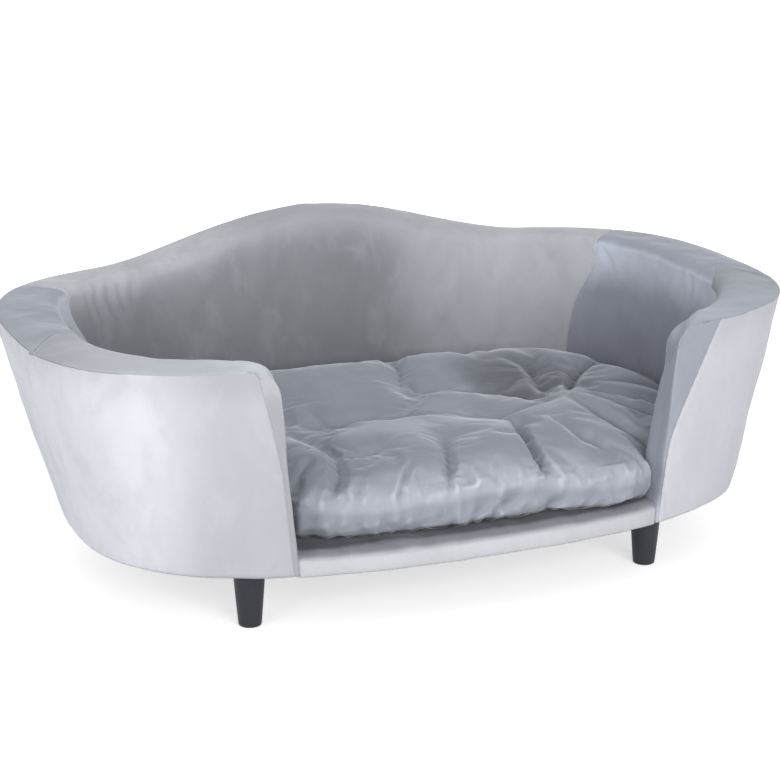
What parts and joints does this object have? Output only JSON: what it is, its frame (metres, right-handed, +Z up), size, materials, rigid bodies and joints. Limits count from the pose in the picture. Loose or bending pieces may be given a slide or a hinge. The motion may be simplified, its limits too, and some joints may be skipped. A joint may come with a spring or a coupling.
{
  "type": "dog sofa bed",
  "caption": "Small oval tub sofa for a dog: padded velvet wall with a humped back and an open front, on tapered legs, with a loose zipped cushion.",
  "frame": {"origin": "on the floor, under the middle of the whole piece's box", "axes": "+X along the sofa's length, +Y from the open front to the humped back, +Z up"},
  "size_m": [0.97, 0.6058, 0.377],
  "materials": {
    "velvet_outer": "silver grey crushed velvet",
    "velvet_inner": "silver grey crushed velvet, nap the other way",
    "velvet_deck": "silver grey crushed velvet",
    "velvet_cushion": "silver grey crushed velvet",
    "plywood": "raw plywood",
    "hardboard": "raw hardboard",
    "foam": "open-cell foam and wadding",
    "fibre_fill": "polyester fibre",
    "dust_cloth": "black non-woven cloth",
    "leg_plastic": "satin charcoal plastic",
    "glide_plastic": "black plastic",
    "steel": "zinc plated",
    "zip_tape": "woven zip tape",
    "zip_metal": "nickel plated"
  },
  "bodies": {
    "sofa": {"base_board": "plywood", "deck_foam": "foam", "deck_cover": "velvet_deck", "front_padding": "foam", "dust_cover": "dust_cloth", "leg_front_left": "leg_plastic", "leg_front_right": "leg_plastic", "leg_rear_left": "leg_plastic", "leg_rear_right": "leg_plastic", "leg_bolts": "steel", "tee_nuts": "steel", "foot_glides": "glide_plastic", "frame_ribs": "plywood", "top_rail": "plywood", "crest_rail": "plywood", "end_post_left": "plywood", "end_post_right": "plywood", "outer_panel": "hardboard", "inner_panel": "hardboard", "outer_wadding": "foam", "inner_foam_left": "foam", "inner_foam_back": "foam", "inner_foam_right": "foam", "roll_foam_left": "foam", "roll_foam_back": "foam", "roll_foam_right": "foam", "end_foam_left": "foam", "end_foam_right": "foam", "outer_cover": "velvet_outer", "back_cover": "velvet_inner", "side_cover_left": "velvet_inner", "side_cover_right": "velvet_inner", "arm_cap_left": "velvet_inner", "arm_cap_right": "velvet_inner"},
    "cushion": {"cushion_top_cover": "velvet_cushion", "cushion_bottom_cover": "velvet_cushion", "cushion_fill": "fibre_fill", "zip_tapes": "zip_tape"},
    "zip_pull": {"zip_slider": "zip_metal"}
  },
  "joints": [
    {"name": "cushion_lift", "type": "slide", "parent": "sofa", "child": "cushion", "axis": [0, 0, 1], "range_m": [0, 0.35]},
    {"name": "zip_slide", "type": "slide", "parent": "cushion", "child": "zip_pull", "axis": [1, 0, 0], "range_m": [0, 0.33]}
  ]
}
